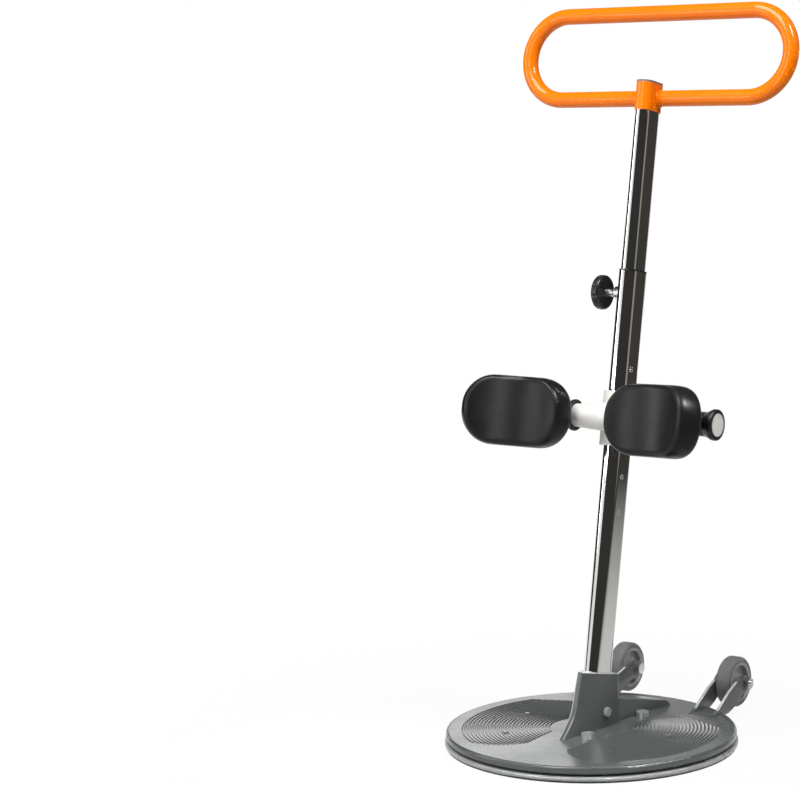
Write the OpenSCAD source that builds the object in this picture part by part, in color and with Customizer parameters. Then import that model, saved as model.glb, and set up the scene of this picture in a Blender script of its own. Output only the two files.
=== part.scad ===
// Patient turner: a standing aid with a turning foot plate, a leaning telescopic mast,
// a loop handle, two knee pads on a cross arm and two transport wheels.
// Millimetres, +Z up. The origin is on the floor under the middle of the base.
// The user stands on the foot plate facing +Y, and X runs along the handle.

/* [Base] */
// Radius of the disc that stands on the floor
floor_r = 225; // [205:1:250]
// Thickness of the floor disc
floor_t = 7; // [6:0.5:10]
// Thickness of the rubber ring under the floor disc
grip_t = 2; // [1.5:0.5:4]
// Radial width of the rubber ring
grip_w = 24; // [14:1:30]
// Radius of the turning foot plate
plate_r = 223; // [215:1:245]
// Height of the gap between the floor disc and the foot plate
base_gap = 3; // [2:0.5:6]
// Height of the foot plate at its rim
plate_h = 12; // [11:0.5:18]
// Thickness of the foot plate's top skin
plate_skin = 6; // [5:0.5:8]
// Width of the foot plate's rim wall
rim_w = 10; // [6:1:14]

/* [Turning bearing] */
// Radius of the ring of balls
track_r = 150; // [145:1:165]
// Number of balls
ball_n = 24; // [12:2:36]
// Radial width of the ball cage
cage_w = 24; // [20:1:28]
// Thickness of the ball cage
cage_t = 4; // [3:0.5:5]
// Diameter of the pivot bolt
pivot_d = 12; // [10:1:14]
// Radius of the foot plate's hub
hub_r = 30; // [26:1:36]

/* [Mast] */
// Backward lean of the mast in degrees
lean = 11.5; // [8:0.5:14]
// Width of the outer tube, across the flats
outer_w = 29; // [27:0.5:31]
// Depth of the outer tube, front to back
outer_d = 55; // [52:0.5:57]
// Width of the inner tube, across the flats
inner_w = 24; // [22:0.5:24.5]
// Wall of both tubes
tube_wall = 1.25; // [1:0.05:1.5]
// Length of the outer tube
outer_len = 693; // [600:1:760]
// Length of inner tube that shows below the handle collar
reach = 251; // [245:1:320]
// Length of inner tube held inside the outer tube
overlap = 300; // [260:1:340]
// Length of the guide bush in the mouth of the outer tube
bush_len = 70; // [60:1:90]

/* [Handle] */
// Overall width of the loop handle
loop_w = 493; // [420:1:560]
// Overall height of the loop handle
loop_h = 159; // [130:1:190]
// Diameter of the handle tube
grip_d = 25; // [20:0.5:30]
// Wall of the handle tube
grip_wall = 2; // [1.5:0.25:3]
// Height of the collar that joins handle and mast
collar_h = 43; // [36:1:60]
// Height of the lower bar above the bottom of the collar
bar_up = 22; // [18:0.5:26]
// Distance of the loop behind the middle of the mast
bar_back = 12; // [6:0.5:13]

/* [Mast socket] */
// Height of the socket along the mast, from the floor
socket_top = 109; // [95:1:130]
// Height of the tube's lower end along the mast, from the floor
tube_foot = 36; // [35:1:42]
// Reach of the front fin along the plate
fin_reach = 85; // [76:1:100]
// Thickness of the front fin's edge
fin_t = 10; // [8:0.5:12]
// Width of the socket behind the fin
socket_w = 42; // [40:1:48]
// Distance of the socket's back from the base axis
socket_back = 54; // [52:1:60]
// Thickness of the flange let into the foot plate
flange_t = 3; // [2.5:0.25:3.5]
// Half width of the flange
flange_half = 46; // [44:1:52]
// Diameter of the socket bolts
bolt_d = 8; // [6:0.5:10]

/* [Rear spine] */
// Height of the spine above the foot plate where it meets the socket
spine_h = 38; // [30:1:44]
// Height of the spine above the foot plate at its far end
spine_end_h = 10; // [6:1:16]
// Distance of the spine's far end from the base axis
spine_reach = 184; // [160:1:195]
// Half width of the spine at the socket
spine_half = 15; // [12:0.5:18]
// Half width of the spine at its far end
spine_end_half = 36; // [28:1:44]

/* [Lock knobs] */
// Diameter of the mast lock knob
lock_knob_d = 54; // [44:1:58]
// Distance of the mast lock below the mouth of the outer tube
lock_down = 33; // [28:0.5:40]
// Diameter of the bracket clamp knob
clamp_knob_d = 42; // [36:1:48]
// Thickness of the knobs
knob_t = 13; // [11:0.5:16]
// Thread diameter of the knob spindles
spindle_d = 10; // [8:0.5:11]
// Free length of spindle between boss and knob
spindle_show = 19; // [14:0.5:24]

/* [Knee support] */
// Height of the cross arm along the mast, from the floor
arm_up = 500; // [420:1:560]
// Distance of the cross arm in front of the middle of the mast
arm_front = 48; // [46:0.5:56]
// Height of the bracket sleeve
sleeve_h = 84; // [70:1:100]
// Wall of the bracket sleeve
sleeve_wall = 5.5; // [4:0.5:7]
// Reach of the bracket's arms to each side
arm_reach = 49; // [46:0.5:56]
// Diameter of the cross shaft
shaft_d = 16; // [12:0.5:18]
// Outer diameter of the pad hubs
hub_d = 37; // [34:0.5:40]
// Reach of the pad hubs to each side
hub_reach = 196; // [190:1:215]
// Distance of each pad's middle from the middle of the mast
pad_out = 124; // [118:1:130]
// Distance of each pad's middle in front of the cross arm
pad_front = 52; // [48:0.5:60]
// Toe in of each pad in degrees
pad_toe = 12; // [8:1:18]
// Width of a pad along its curve
pad_w = 177; // [150:1:184]
// Height of a pad
pad_h = 109; // [96:1:120]
// Thickness of a pad
pad_t = 40; // [32:1:44]
// Radius of the pad's curve around the leg
pad_curve = 200; // [150:1:260]

/* [Wheels] */
// Wheel diameter
wheel_d = 80; // [70:1:86]
// Width of a tyre
tyre_w = 25; // [20:0.5:26]
// Diameter of the wheel hub inside the tyre
rim_d = 64; // [54:1:66]
// Distance of each wheel from the middle plane
wheel_x = 100; // [92:1:106]
// Distance of the axle behind the base axis
wheel_y = 270; // [268:1:282]
// Gap between the wheels and the floor
wheel_lift = 11; // [8:0.5:14]
// Diameter of the axle bolts
axle_d = 10; // [8:0.5:12]
// Thickness of a fork arm
arm_t = 6; // [5:0.5:7]
// Splay of the fork arms toward the foot plate in degrees
arm_splay = 4; // [2:0.5:4]

/* [Hidden] */
$fn = 64;

// Clearances
fit = 0.05;      // fixed pieces that seat in one another
run = 0.08;      // running and sliding fits
slack = 0.3;     // free faces that pass each other
seam = 0.2;      // seam round a piece let into another
over = 1;        // overrun of cuts

// Base heights
floor_z1 = grip_t + floor_t;
plate_z0 = floor_z1 + base_gap;
plate_z1 = plate_z0 + plate_h;
skin_z0 = plate_z1 - plate_skin;
floor_edge = 2.5;
plate_edge = 4;
grip_inset = 2;

// Bearing
ball_clear = 0.15;
ball_d = skin_z0 - floor_z1 - 2 * ball_clear;
cage_lift = 0.5;
rib_t = 4;
rib_h = 3;
cage_in = track_r - cage_w / 2;
cage_out = track_r + cage_w / 2;
stiffener_n = 8;
stiffener_t = 4;

// Pivot
boss_step = 2;
boss_r = hub_r - boss_step;
boss_h = 3;
boss_z1 = floor_z1 + boss_h;
thrust_t = 1.5;
hub_z0 = boss_z1 + thrust_t;
nut_recess = 4;
hub_z1 = plate_z1 - nut_recess;
head_share = 2.6;
head_d = head_share * pivot_d;
head_t = 4;
seat_down = 2;
head_seat = floor_z1 - seat_down;
washer_share = 2.2;
washer_d = washer_share * pivot_d;
washer_t = 2;
pivot_nut_t = 8;
nut_share = 1.55;
pivot_nut_af = nut_share * pivot_d;
thread_show = 1;
cavity_gap = 3;
cavity_r = washer_d / 2 + cavity_gap;
cavity_z1 = hub_z1 + washer_t + pivot_nut_t + cavity_gap;
bush_t = 2;

// Tubes
inner_d = inner_w + outer_d - outer_w;
bore_w = outer_w - 2 * tube_wall;
bore_d = outer_d - 2 * tube_wall;
outer_top = tube_foot + outer_len;
bush_lip = 2.5;
collar_s = outer_top + reach;
inner_top = collar_s + collar_h;
inner_foot = outer_top - overlap;
collar_t = 1.8;
collar_w = inner_w + 2 * collar_t;
collar_d = inner_d + 2 * collar_t;
plug_lip = 3;
plug_depth = 18;
foot_depth = 14;
foot_lip = 12;

// Handle loop
loop_r = (loop_h - grip_d) / 2;
loop_half = loop_w / 2 - grip_d / 2 - loop_r;
bar_s = collar_s + bar_up;

// Socket outline: heights and nose places, as shares of its height and of the fin's reach
socket_spare = 12;
socket_z1 = socket_top + socket_spare;
nose_z_shares = [0, 0.13, 0.31, 0.53, 0.76, 1];
nose_y_shares = [1, 0.81, 0.61, 0.5, 0.41, 0.31];
flare_y = 2;
corner_r = 8;
sliver = 0.02;
flange_y0 = -70;
flange_y1 = 114;
flange_r = 16;
bolt_at = [[30, -55.5], [34.5, 97], [-34.5, 97]];
bolt_head_share = 2.5;
bolt_head_d = bolt_head_share * bolt_d;
bolt_head_h = bolt_d;
bolt_boss_r = bolt_d;
bolt_lift = 2;
bolt_foot = plate_z0 + bolt_lift;
clamp_y = 1;
clamp_up = 14;
clamp_s = tube_foot + clamp_up;
clamp_d = 8;
clamp_af = 13;
clamp_head = 5.5;
clamp_half = socket_w / 2;
clamp_end = 2;

// Spine
spine_y0 = socket_back - corner_r;
spine_slant = 13;

// Locks
tip_step = 1;
pad_disc_d = spindle_d + 2 * tip_step;
pad_clear = 0.1;
lock_s = outer_top - lock_down;
lock_boss_d = 20;
lock_boss_l = 12;
boss_counter = 6;
tip_depth = 2;
neck_step = 1.5;
neck_d = spindle_d + 2 * neck_step;
neck_gap = 4;
knob_edge = 4;
knob_grip = 8;
knob_flutes = 10;
flute_r = 5;
flute_depth = 1.4;
lock_face = outer_w / 2 + lock_boss_l;
pad_tip = inner_w / 2 + pad_clear;

// Knee bracket
liner_t = 1.5;
sleeve_w = outer_w + 2 * (run + liner_t + fit + sleeve_wall);
sleeve_d = outer_d + 2 * (run + liner_t + fit + sleeve_wall);
arm_root_d = 43;
arm_end_d = 35.5;
hub_gap = 0.4;
hub_lip = 6;
end_lip = 5;
flange_hub_d = hub_d + 2 * hub_lip;
flange_end_d = hub_d + 2 * end_lip;
flange_hub_t = 6;
flange_end_t = 8;
flare_l = 12;
hub_edge = 2;
counter_d = 30;
counter_l = 12;
shaft_half = hub_reach - counter_l - hub_gap;
screw_washer_d = 26;
screw_washer_t = 2;
screw_head_d = 14;
screw_head_t = 6;
screw_l = 20;
screw_d = 8;
cap_in = 1.25;
cap_d = hub_d - 2 * cap_in;
cap_t = 3;
cap_proud = 0.4;
hub_end = hub_reach + cap_t - cap_proud;
cap_spigot = 3;
carrier_w = 56;
carrier_wall = 5.5;
carrier_d = hub_d + 2 * carrier_wall;
neck_h = 46;
neck_w = 50;
shell_t = 4;
shell_gap = 0.4;
shell_deg = 15;
shell_share = 0.6;
shell_h = shell_share * pad_h;
clamp_back = 5;
clamp_face = sleeve_w / 2 + lock_boss_l;
clamp_tip = outer_w / 2 + pad_clear;

// Pad cushion: outline, rim rounding and crown
round_share = 0.46;
pad_round = round_share * pad_h;
full_share = 0.92;
pad_steps = 12;
rim_angles = [-90, -62, -38, -16, 0, 16, 38, 62, 90];
rim_share = 0.3;
rim_shape = 0.6;
rim_depth = rim_share * pad_t;
dome_shares = [0.62, 0.3];
dome_share = 0.62;
pad_crown = 0.6;
pad_drop = 2.5;
drawn_in = 1.5;

// Wheels
wheel_z = wheel_lift + wheel_d / 2;
tyre_edge = 6;
hub_side = 1;
rim_ring = 5;
web_t = 8;
wheel_boss_d = 24;
wheel_bush_t = 2;
tyre_gap = 3.5;
arm_in = tyre_w / 2 + tyre_gap;
arm_out = arm_in + arm_t;
boss_lift = 1;
fork_face = arm_out + boss_lift;
spacer_gap = 2;
spacer_half = tyre_w / 2 + spacer_gap;
fork_boss_d = 25;
axle_af = 17;
axle_head_t = 6.5;
axle_nut_t = 8;
axle_show = 2;
fork_toe_y = 150;
web_len = 22;
web_side = 1;
web_sink = 2;
web_lift = 0.6;
fork_screw_d = 5;
fork_screw_head_d = 9;
fork_screw_head_t = 3;
fork_screw_x = 13;
fork_screw_gap = 1;
fork_screw_tip = plate_z1 + web_lift - fork_screw_gap;

// Fork arm outline behind the toe: shares of the run to the axle and of the rise to the axle
fork_run = wheel_y - fork_toe_y;
fork_rise = wheel_z - plate_z1;
fork_top_shares = [[0, 0], [0.16, 0.16], [0.33, 0.55], [0.53, 0.97], [0.75, 1.28], [0.93, 1.44]];
fork_low_shares = [[0.98, 0.6], [0.8, 0.2], [0.68, 0], [0.58, -0.14], [0.45, -0.26], [0.3, -0.26]];

// Shared shapes
module mast() {
    rotate([-lean, 0, 0]) children();
}

module obround(w, d) {
    square([w, d - w], center = true);
    for (s = [-1, 1]) translate([0, s * (d - w) / 2]) circle(d = w);
}

module bar(w, d, h) {
    linear_extrude(h) obround(w, d);
}

module along_x(x) {
    translate([x, 0, 0]) rotate([0, 90, 0]) children();
}

module round_disc(r, h, e) {
    rotate_extrude() {
        square([r - e, h]);
        translate([0, e]) square([r, h - 2 * e]);
        for (z = [e, h - e]) translate([r - e, z]) circle(e);
    }
}

module ring(r_out, r_in, h) {
    difference() {
        cylinder(r = r_out, h = h);
        translate([0, 0, -over]) cylinder(r = r_in, h = h + 2 * over);
    }
}

module hex(af, h) {
    cylinder(d = af / cos(30), h = h, $fn = 6);
}

module rounded_plate(half, y0, y1, r) {
    translate([-half + r, y0]) square([2 * (half - r), y1 - y0]);
    translate([-half, y0 + r]) square([2 * half, y1 - y0 - 2 * r]);
    for (x = [-half + r, half - r]) for (y = [y0 + r, y1 - r]) translate([x, y]) circle(r);
}

module each_bolt() {
    for (p = bolt_at) translate([p[0], p[1], 0]) children();
}

// Right side drawn as written, left side mirrored
module sided(side) {
    mirror([side < 0 ? 1 : 0, 0, 0]) children();
}

// Base and bearing
module floor_disc() {
    color("dimgray") difference() {
        union() {
            translate([0, 0, grip_t]) round_disc(floor_r, floor_t, floor_edge);
            translate([0, 0, grip_t + floor_edge]) cylinder(r = boss_r, h = boss_z1 - grip_t - floor_edge);
            translate([0, 0, floor_z1 - over]) ring(cage_in - run, cage_in - run - rib_t, rib_h + over);
        }
        translate([0, 0, grip_t - over]) cylinder(d = pivot_d + 2 * fit, h = boss_z1);
        translate([0, 0, grip_t - over]) cylinder(d = head_d + 2 * slack, h = head_seat - grip_t + over);
    }
}

module grip_ring() {
    color("black") ring(floor_r - grip_inset, floor_r - grip_inset - grip_w, grip_t);
}

module pivot_bolt() {
    top = hub_z1 + washer_t + pivot_nut_t + thread_show;
    color("silver") {
        translate([0, 0, head_seat - head_t]) cylinder(d = head_d, h = head_t);
        translate([0, 0, head_seat - head_t]) cylinder(d = pivot_d, h = top - head_seat + head_t);
    }
}

module pivot_washer() {
    color("silver") translate([0, 0, hub_z1 + run]) ring(washer_d / 2, pivot_d / 2 + fit, washer_t - run);
}

module pivot_nut() {
    color("silver") translate([0, 0, hub_z1 + washer_t]) difference() {
        hex(pivot_nut_af, pivot_nut_t);
        translate([0, 0, -over]) cylinder(d = pivot_d + 2 * fit, h = pivot_nut_t + 2 * over);
    }
}

module thrust_washer() {
    color("ivory") translate([0, 0, boss_z1]) ring(boss_r, pivot_d / 2 + bush_t + slack, thrust_t - run);
}

module ball_cage() {
    color("ivory") translate([0, 0, floor_z1 + cage_lift]) difference() {
        ring(cage_out, cage_in + slack, cage_t);
        for (i = [0 : ball_n - 1]) rotate(i * 360 / ball_n) translate([track_r, 0, -over])
            cylinder(d = ball_d + 2 * run, h = cage_t + 2 * over);
    }
}

module bearing_balls() {
    color("silver") for (i = [0 : ball_n - 1]) rotate(i * 360 / ball_n)
        translate([track_r, 0, floor_z1 + ball_clear + ball_d / 2]) sphere(d = ball_d);
}

// Turning platform
module fork_web(side, gap) {
    sided(side) translate([wheel_x, wheel_y, 0]) rotate(arm_splay) translate([0, web_len / 2 - fork_run, 0])
        linear_extrude(flange_t + web_lift)
            square([2 * (arm_out + web_side + gap), web_len + 2 * (web_side + gap)], center = true);
}

module each_fork_screw(side) {
    sided(side) translate([wheel_x, wheel_y, 0]) rotate(arm_splay)
        for (x = [-fork_screw_x, fork_screw_x]) translate([x, web_len / 2 - fork_run, 0]) children();
}

module foot_plate() {
    color("dimgray") difference() {
        union() {
            difference() {
                translate([0, 0, plate_z0]) round_disc(plate_r, plate_h, plate_edge);
                translate([0, 0, plate_z0 - over])
                    cylinder(r = plate_r - rim_w, h = plate_h - plate_skin + over);
            }
            translate([0, 0, hub_z0]) cylinder(r = hub_r, h = plate_z1 - hub_z0 - flange_t);
            each_bolt() translate([0, 0, bolt_foot])
                cylinder(r = bolt_boss_r, h = plate_z1 - bolt_foot - flange_t);
            for (i = [0 : stiffener_n - 1]) rotate((i + 0.5) * 360 / stiffener_n)
                translate([hub_r - over, -stiffener_t / 2, plate_z0 + rib_h])
                    cube([cage_in - 2 * rib_t - hub_r, stiffener_t, skin_z0 - plate_z0 - rib_h + over]);
        }
        cylinder(d = pivot_d + 2 * bush_t, h = plate_z1);
        translate([0, 0, hub_z1]) cylinder(r = cavity_r, h = nut_recess + over);
        translate([0, 0, plate_z1 - flange_t]) linear_extrude(flange_t + over)
            rounded_plate(flange_half + seam, flange_y0 - seam, flange_y1 + seam, flange_r + seam);
        each_bolt() cylinder(d = bolt_d + 2 * fit, h = plate_z1);
        for (side = [-1, 1]) {
            translate([0, 0, plate_z1 - flange_t]) fork_web(side, seam);
            each_fork_screw(side) cylinder(d = fork_screw_d + 2 * fit, h = plate_z1);
        }
    }
}

module pivot_bush() {
    color("ivory") translate([0, 0, hub_z0])
        ring(pivot_d / 2 + bush_t - fit, pivot_d / 2 + run, hub_z1 - hub_z0);
}

module socket_section(i) {
    half = socket_w / 2;
    nose = -fin_reach * nose_y_shares[i];
    z = plate_z1 + (socket_z1 - plate_z1) * nose_z_shares[i];
    side = [[fin_t / 2, nose], [half, flare_y], [half, socket_back - corner_r],
        [half - corner_r * (1 - cos(45)), socket_back - corner_r * (1 - sin(45))],
        [half - corner_r, socket_back]];
    left = [for (k = [len(side) - 1 : -1 : 0]) [-side[k][0], side[k][1]]];
    translate([0, 0, z]) linear_extrude(sliver) polygon(concat(side, left));
}

module spine() {
    z0 = plate_z1;
    intersection() {
        translate([0, 0, z0]) linear_extrude(2 * spine_h) polygon([
            [-spine_half, spine_y0], [spine_half, spine_y0],
            [spine_end_half, spine_reach - spine_slant], [spine_end_half, spine_reach],
            [-spine_end_half, spine_reach], [-spine_end_half, spine_reach - spine_slant]]);
        rotate([90, 0, 90]) linear_extrude(4 * spine_end_half, center = true) polygon([
            [spine_y0, z0], [spine_reach, z0], [spine_reach - spine_slant, z0 + spine_end_h],
            [spine_y0, z0 + spine_h]]);
    }
}

module mast_socket() {
    pocket_w = outer_w + 2 * fit;
    pocket_d = outer_d + 2 * fit;
    color("dimgray") difference() {
        union() {
            translate([0, 0, plate_z1 - flange_t]) linear_extrude(flange_t)
                rounded_plate(flange_half, flange_y0, flange_y1, flange_r);
            for (i = [0 : len(nose_z_shares) - 2]) hull() {
                socket_section(i);
                socket_section(i + 1);
            }
            spine();
        }
        mast() translate([0, 0, tube_foot]) bar(pocket_w, pocket_d, outer_len);
        mast() translate([0, 0, socket_top]) cylinder(r = 2 * fin_reach, h = outer_len);
        cylinder(r = cavity_r, h = cavity_z1);
        mast() translate([0, clamp_y, clamp_s]) along_x(-socket_w)
            cylinder(d = clamp_d + 2 * fit, h = 2 * socket_w);
        each_bolt() cylinder(d = bolt_d + 2 * fit, h = plate_z1 + over);
    }
}

module socket_bolts() {
    color("silver") each_bolt() {
        translate([0, 0, plate_z1]) cylinder(d = bolt_head_d, h = bolt_head_h);
        translate([0, 0, bolt_foot]) cylinder(d = bolt_d, h = plate_z1 - bolt_foot + over);
    }
}

module clamp_bolt() {
    end = clamp_half + clamp_head + clamp_end;
    color("silver") mast() translate([0, clamp_y, clamp_s]) {
        along_x(clamp_half) hex(clamp_af, clamp_head);
        along_x(-end) cylinder(d = clamp_d, h = end + clamp_half + over);
    }
}

module clamp_nut() {
    color("silver") mast() translate([0, clamp_y, clamp_s]) along_x(-clamp_half - clamp_head) difference() {
        hex(clamp_af, clamp_head);
        translate([0, 0, -over]) cylinder(d = clamp_d + 2 * fit, h = clamp_head + 2 * over);
    }
}

// Mast
module outer_tube() {
    color("silver") mast() difference() {
        translate([0, 0, tube_foot]) bar(outer_w, outer_d, outer_len);
        translate([0, 0, tube_foot - over]) bar(bore_w, bore_d, outer_len + 2 * over);
        translate([0, clamp_y, clamp_s]) along_x(-outer_w) cylinder(d = clamp_d + 2 * fit, h = 2 * outer_w);
        translate([0, 0, lock_s]) along_x(-outer_w) cylinder(d = pad_disc_d + 2 * slack, h = outer_w);
    }
}

module guide_bush() {
    color("dimgray") mast() difference() {
        union() {
            translate([0, 0, outer_top - bush_len])
                bar(bore_w - 2 * fit, bore_d - 2 * fit, bush_len + bush_lip);
            translate([0, 0, outer_top]) bar(outer_w, outer_d, bush_lip);
        }
        translate([0, 0, outer_top - bush_len - over])
            bar(inner_w + 2 * run, inner_d + 2 * run, bush_len + bush_lip + 2 * over);
        translate([0, 0, lock_s]) along_x(-outer_w) cylinder(d = pad_disc_d + 2 * slack, h = outer_w);
    }
}

module lock_boss() {
    color("silver") mast() translate([0, 0, lock_s]) along_x(-lock_face) difference() {
        cylinder(d = lock_boss_d, h = lock_boss_l);
        translate([0, 0, -over]) cylinder(d = spindle_d + 2 * run, h = lock_boss_l + 2 * over);
        translate([0, 0, lock_boss_l - boss_counter])
            cylinder(d = pad_disc_d + 2 * slack, h = boss_counter + over);
    }
}

module inner_tube() {
    length = inner_top - inner_foot;
    color("silver") mast() translate([0, 0, inner_foot]) difference() {
        bar(inner_w, inner_d, length);
        translate([0, 0, -over]) bar(inner_w - 2 * tube_wall, inner_d - 2 * tube_wall, length + 2 * over);
    }
}

module glide_foot() {
    inset = tube_wall + fit;
    color("dimgray") mast() translate([0, 0, inner_foot]) {
        translate([0, 0, -foot_lip]) bar(bore_w - 2 * run, bore_d - 2 * run, foot_lip);
        translate([0, 0, -over]) bar(inner_w - 2 * inset, inner_d - 2 * inset, foot_depth + over);
    }
}

module end_plug() {
    inset = tube_wall + fit;
    color("gray") mast() translate([0, 0, inner_top]) {
        bar(collar_w, collar_d, plug_lip);
        translate([0, 0, -plug_depth]) bar(inner_w - 2 * inset, inner_d - 2 * inset, plug_depth + over);
    }
}

// Handle
module handle_collar() {
    color("orange") mast() translate([0, 0, collar_s]) difference() {
        bar(collar_w, collar_d, collar_h);
        translate([0, 0, -over]) bar(inner_w + 2 * fit, inner_d + 2 * fit, collar_h + 2 * over);
    }
}

module loop_core(r) {
    for (z = [-loop_r, loop_r]) translate([0, 0, z]) along_x(-loop_half) cylinder(r = r, h = 2 * loop_half);
    for (side = [-1, 1]) sided(side) translate([loop_half, 0, 0]) rotate([90, 0, 0]) rotate(-90)
        rotate_extrude(angle = 180) translate([loop_r, 0]) circle(r);
}

module handle_loop() {
    color("orange") mast() translate([0, bar_back, bar_s + loop_r]) difference() {
        loop_core(grip_d / 2);
        loop_core(grip_d / 2 - grip_wall);
        translate([0, -bar_back, -loop_r - grip_d]) bar(collar_w + 2 * fit, collar_d + 2 * fit, 2 * grip_d);
    }
}

// Locks: a pad that does not turn, a spindle and a knob, drawn along Z from the pad's tip
module lock_disc(tip, face) {
    translate([0, 0, tip]) cylinder(d = pad_disc_d, h = face - lock_boss_l + tip_depth - tip);
}

module spindle(face) {
    z0 = face - lock_boss_l + tip_depth + pad_clear;
    translate([0, 0, z0]) cylinder(d = spindle_d, h = face + spindle_show + knob_grip - z0);
    translate([0, 0, face + neck_gap]) cylinder(d = neck_d, h = spindle_show - neck_gap);
}

module knob(d, face) {
    translate([0, 0, face + spindle_show]) difference() {
        round_disc(d / 2, knob_t, knob_edge);
        translate([0, 0, -over]) cylinder(d = spindle_d + 2 * fit, h = knob_grip + over);
        for (i = [0 : knob_flutes - 1]) rotate(i * 360 / knob_flutes)
            translate([d / 2 + flute_r - flute_depth, 0, -over]) cylinder(r = flute_r, h = knob_t + 2 * over);
    }
}

module at_lock() {
    mast() translate([0, 0, lock_s]) rotate([0, -90, 0]) children();
}

module at_clamp() {
    mast() translate([0, clamp_back, arm_up]) along_x(0) children();
}

module lock_pad() {
    color("ivory") at_lock() lock_disc(pad_tip, lock_face);
}

module lock_spindle() {
    color("silver") at_lock() spindle(lock_face);
}

module lock_knob() {
    color("black") at_lock() knob(lock_knob_d, lock_face);
}

module clamp_pad() {
    color("ivory") at_clamp() lock_disc(clamp_tip, clamp_face);
}

module clamp_spindle() {
    color("silver") at_clamp() spindle(clamp_face);
}

module clamp_knob() {
    color("black") at_clamp() knob(clamp_knob_d, clamp_face);
}

// Knee support
module knee_bracket() {
    liner_w = outer_w + 2 * (run + liner_t + fit);
    liner_d = outer_d + 2 * (run + liner_t + fit);
    color("whitesmoke") mast() translate([0, 0, arm_up]) difference() {
        union() {
            translate([0, 0, -sleeve_h / 2]) bar(sleeve_w, sleeve_d, sleeve_h);
            for (side = [-1, 1]) sided(side) translate([0, -arm_front, 0]) along_x(0)
                cylinder(d1 = arm_root_d, d2 = arm_end_d, h = arm_reach);
            translate([0, clamp_back, 0]) along_x(0) cylinder(d = lock_boss_d, h = clamp_face);
        }
        translate([0, 0, -sleeve_h]) bar(liner_w, liner_d, 2 * sleeve_h);
        translate([0, -arm_front, 0]) along_x(-arm_reach - over)
            cylinder(d = shaft_d + 2 * fit, h = 2 * (arm_reach + over));
        translate([0, clamp_back, 0]) along_x(0) {
            cylinder(d = spindle_d + 2 * run, h = clamp_face + over);
            cylinder(d = pad_disc_d + 2 * slack, h = clamp_face - lock_boss_l + boss_counter);
        }
    }
}

module bracket_liner() {
    t = run + liner_t;
    color("dimgray") mast() translate([0, 0, arm_up - sleeve_h / 2]) difference() {
        bar(outer_w + 2 * t, outer_d + 2 * t, sleeve_h);
        translate([0, 0, -over]) bar(outer_w + 2 * run, outer_d + 2 * run, sleeve_h + 2 * over);
        translate([0, clamp_back, sleeve_h / 2]) along_x(0) cylinder(d = pad_disc_d + 2 * slack, h = outer_w);
    }
}

module at_arm() {
    mast() translate([0, -arm_front, arm_up]) children();
}

module cross_shaft() {
    color("silver") at_arm() difference() {
        along_x(-shaft_half) cylinder(d = shaft_d, h = 2 * shaft_half);
        for (side = [-1, 1]) sided(side) along_x(shaft_half - screw_l)
            cylinder(d = screw_d + 2 * fit, h = screw_l + over);
    }
}

module shaft_screws() {
    color("silver") for (side = [-1, 1]) at_arm() sided(side) {
        along_x(shaft_half) cylinder(d = screw_washer_d, h = screw_washer_t);
        along_x(shaft_half) cylinder(d = screw_head_d, h = screw_washer_t + screw_head_t);
        along_x(shaft_half - screw_l + over) cylinder(d = screw_d, h = screw_l);
    }
}

module spool(r, h, e, x) {
    translate([0, 0, x]) round_disc(r, h, e);
}

module pad_hub(side) {
    x0 = arm_reach + hub_gap;
    color("black") at_arm() sided(side) along_x(0) difference() {
        union() {
            translate([0, 0, x0]) cylinder(d = hub_d, h = hub_end - flange_end_t - x0);
            spool(flange_hub_d / 2, flange_hub_t, hub_edge, x0);
            translate([0, 0, hub_end - flange_end_t + hub_edge - flare_l])
                cylinder(d1 = hub_d, d2 = flange_end_d, h = flare_l);
            spool(flange_end_d / 2, flange_end_t, hub_edge, hub_end - flange_end_t);
        }
        cylinder(d = shaft_d + 2 * run, h = hub_reach + over);
        translate([0, 0, hub_reach]) cylinder(d = cap_d + 2 * fit, h = cap_t);
        translate([0, 0, shaft_half - hub_gap]) cylinder(d = counter_d, h = hub_reach);
    }
}

module end_cap(side) {
    color("gainsboro") at_arm() sided(side) along_x(0) {
        translate([0, 0, hub_reach]) cylinder(d = cap_d, h = cap_t);
        translate([0, 0, hub_reach - cap_spigot])
            ring(counter_d / 2 - fit, counter_d / 2 - cap_spigot, cap_spigot + cap_t);
    }
}

// Frame at the middle of a pad: -Y faces the leg, +X is the outer end
module at_pad() {
    translate([pad_out, -pad_front, -pad_drop]) rotate(-pad_toe) children();
}

module shell_arc(r0, t, h, deg) {
    translate([0, -pad_curve, 0]) rotate(90 - deg) rotate_extrude(angle = 2 * deg)
        translate([r0, -h / 2]) square([t, h]);
}

module pad_carrier(side) {
    back = pad_t / 2 + shell_gap;
    color("black") at_arm() sided(side) difference() {
        union() {
            along_x(pad_out - carrier_w / 2) cylinder(d = carrier_d, h = carrier_w);
            at_pad() shell_arc(pad_curve + back, shell_t, shell_h, shell_deg);
            difference() {
                translate([pad_out - neck_w / 2, -pad_front, -neck_h / 2]) cube([neck_w, pad_front, neck_h]);
                at_pad() translate([0, -pad_curve, -neck_h])
                    cylinder(r = pad_curve + back + shell_t / 2, h = 2 * neck_h);
            }
        }
        along_x(arm_reach) cylinder(d = hub_d + 2 * fit, h = hub_reach);
    }
}

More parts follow.
